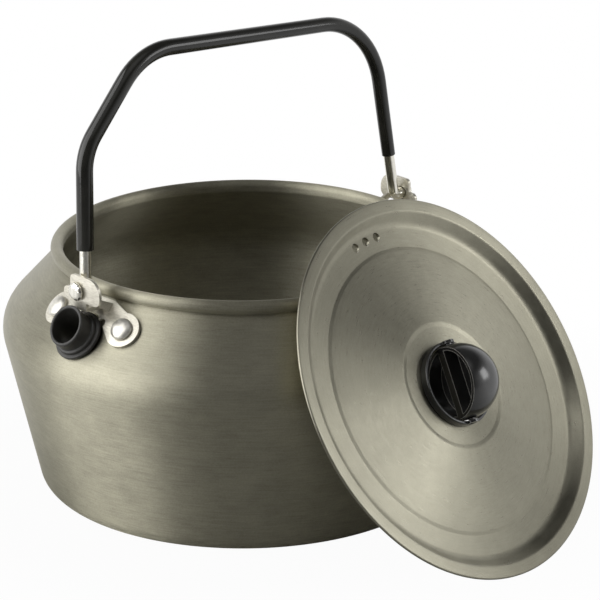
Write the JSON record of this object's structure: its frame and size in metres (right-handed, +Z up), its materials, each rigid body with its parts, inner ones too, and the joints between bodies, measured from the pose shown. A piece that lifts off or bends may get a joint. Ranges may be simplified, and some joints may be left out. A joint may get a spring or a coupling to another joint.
{
  "type": "camp kettle",
  "caption": "Squat aluminium camp kettle with a short rubber spout tip, a folding wire bail and a lift-off lid with a turning knob, shown leaning on its side.",
  "frame": {"origin": "centre of the kettle's flat base, on the surface it stands on", "axes": "+Z up, the spout looks along -Y, the lid leans on the +X side"},
  "size_m": [0.2057, 0.1636, 0.1565],
  "materials": {
    "anodised_aluminium": "satin hard-anodised",
    "spout_rubber": "matte moulded",
    "stainless_plate": "pressed, lightly brushed",
    "rivet_aluminium": "set, plain",
    "steel_wire": "drawn, bright",
    "sleeve_plastic": "satin tube",
    "knob_plastic": "gloss moulded"
  },
  "bodies": {
    "kettle": {"kettle_body": "anodised_aluminium", "spout_tip": "spout_rubber", "front_bracket": "stainless_plate", "rear_bracket": "stainless_plate", "front_rivet_right": "rivet_aluminium", "front_rivet_left": "rivet_aluminium", "rear_rivet_right": "rivet_aluminium", "rear_rivet_left": "rivet_aluminium"},
    "bail": {"bail_wire": "steel_wire", "bail_sleeve": "sleeve_plastic"},
    "lid": {"lid_dish": "anodised_aluminium", "knob_bezel": "knob_plastic", "knob_clamp_ring": "knob_plastic"},
    "knob": {"knob_ball": "knob_plastic"}
  },
  "joints": [
    {"name": "bail_swing", "type": "hinge", "parent": "kettle", "child": "bail", "pos_m": [0.00141, 0, 0.0835], "axis": [0, 1, 0], "range_deg": [-84.5, 62]},
    {"name": "lid_lift", "type": "slide", "parent": "kettle", "child": "lid", "axis": [0.834, 0.0968, 0.5432], "range_m": [0, 0.12]},
    {"name": "knob_flip", "type": "hinge", "parent": "lid", "child": "knob", "pos_m": [0.09349, 0.00607, 0.05679], "axis": [-0.5516, 0.1281, 0.8242], "range_deg": [-80.5, 99.5]}
  ]
}
